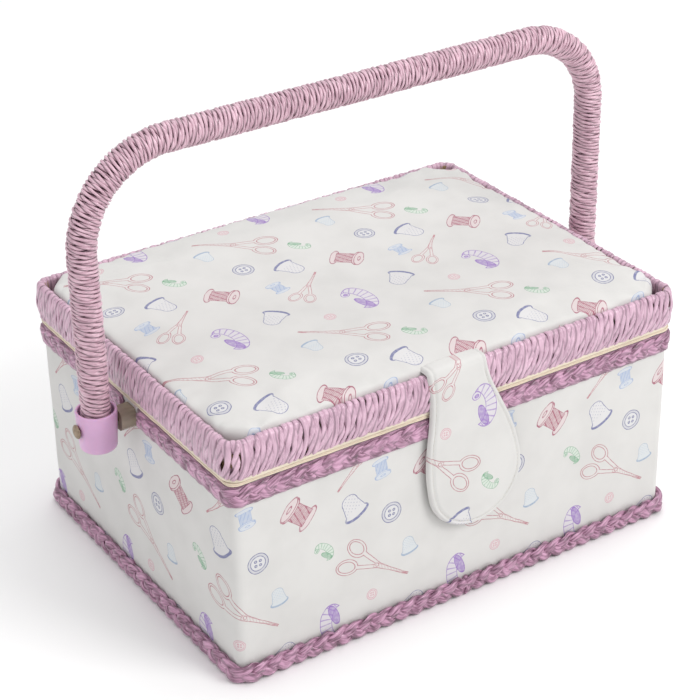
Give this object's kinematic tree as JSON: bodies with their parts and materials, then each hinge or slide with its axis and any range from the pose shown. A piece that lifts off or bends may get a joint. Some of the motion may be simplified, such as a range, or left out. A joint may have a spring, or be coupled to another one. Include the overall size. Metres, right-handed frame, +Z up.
{
  "type": "sewing box with trays",
  "caption": "Rectangular fabric-covered sewing box with a padded hinged lid, swinging cord-wound handle, magnetic tab and sliding compartment trays.",
  "frame": {"origin": "middle of the base board's underside, on the surface that the box stands on", "axes": "+Z up, +X to the right along the long side, +Y to the back where the lid is hinged; the tab hangs on the -Y side"},
  "size_m": [0.377, 0.2392, 0.2905],
  "materials": {
    "printed_cotton": "woven cotton with a fine line print",
    "cream_lining": "cream satin cotton",
    "twisted_cord": "glossy twisted paper cord",
    "plaited_trim": "satin plaited paper strands",
    "lilac_plastic": "moulded, soft gloss",
    "board": "raw grey board",
    "foam": "soft foam",
    "brass": "dull brass",
    "amber_plastic": "translucent amber plastic",
    "steel": "plain steel",
    "tray_plastic": "moulded, soft gloss"
  },
  "bodies": {
    "base": {"base_board": "board", "front_board": "board", "back_board": "board", "left_board": "board", "right_board": "board", "front_keeper_plate": "steel", "body_cover": "printed_cotton", "body_lining": "cream_lining", "body_edge_piping": "cream_lining", "upper_braid_front": "plaited_trim", "upper_braid_back": "plaited_trim", "lower_braid": "plaited_trim", "upper_ledge_front": "cream_lining", "upper_ledge_back": "cream_lining", "lower_ledge_front": "cream_lining", "lower_ledge_back": "cream_lining", "hinge_tape": "cream_lining", "handle_spacer_left": "amber_plastic", "handle_spacer_right": "amber_plastic"},
    "lid": {"lid_rim_core": "board", "lid_rim_winding": "twisted_cord", "lid_board": "board", "lid_cover": "printed_cotton", "lid_foam": "foam", "lid_lining": "cream_lining", "pin_cushion": "printed_cotton", "lid_pocket": "printed_cotton", "tab_tongue": "printed_cotton"},
    "clasp_tab": {"tab_flap": "printed_cotton", "tab_magnet": "steel"},
    "handle_pins": {"handle_rivet_left": "brass", "handle_rivet_right": "brass", "rivet_washer_left": "brass", "rivet_washer_right": "brass"},
    "handle": {"handle_winding": "twisted_cord", "handle_core": "board", "handle_socket_left": "lilac_plastic", "handle_socket_right": "lilac_plastic"},
    "upper_tray": {"upper_tray": "tray_plastic"},
    "lower_tray": {"lower_tray": "tray_plastic"}
  },
  "joints": [
    {"name": "lid_hinge", "type": "hinge", "parent": "base", "child": "lid", "pos_m": [0, 0.116, 0.131], "axis": [-1, 0, 0], "range_deg": [0, 92.5]},
    {"name": "handle_push_back", "type": "hinge", "parent": "base", "child": "handle_pins", "pos_m": [0, -0.003, 0.1205], "axis": [-1, 0, 0], "range_deg": [0, 123.5]},
    {"name": "handle_swing", "type": "hinge", "parent": "handle_pins", "child": "handle", "pos_m": [0, -0.003, 0.1205], "axis": [1, 0, 0], "range_deg": [-120, 120]},
    {"name": "tab_hinge", "type": "hinge", "parent": "lid", "child": "clasp_tab", "pos_m": [-0.0075, -0.1166, 0.1571], "axis": [-1, 0, 0], "range_deg": [0, 95]},
    {"name": "upper_tray_slide", "type": "slide", "parent": "base", "child": "upper_tray", "axis": [1, 0, 0], "range_m": [0, 0.1505]},
    {"name": "lower_tray_slide", "type": "slide", "parent": "base", "child": "lower_tray", "axis": [-1, 0, 0], "range_m": [0, 0.1505]}
  ],
  "couplings": [
    {"joint": "handle_push_back", "follows": "lid_hinge", "ratio": 1.33}
  ]
}
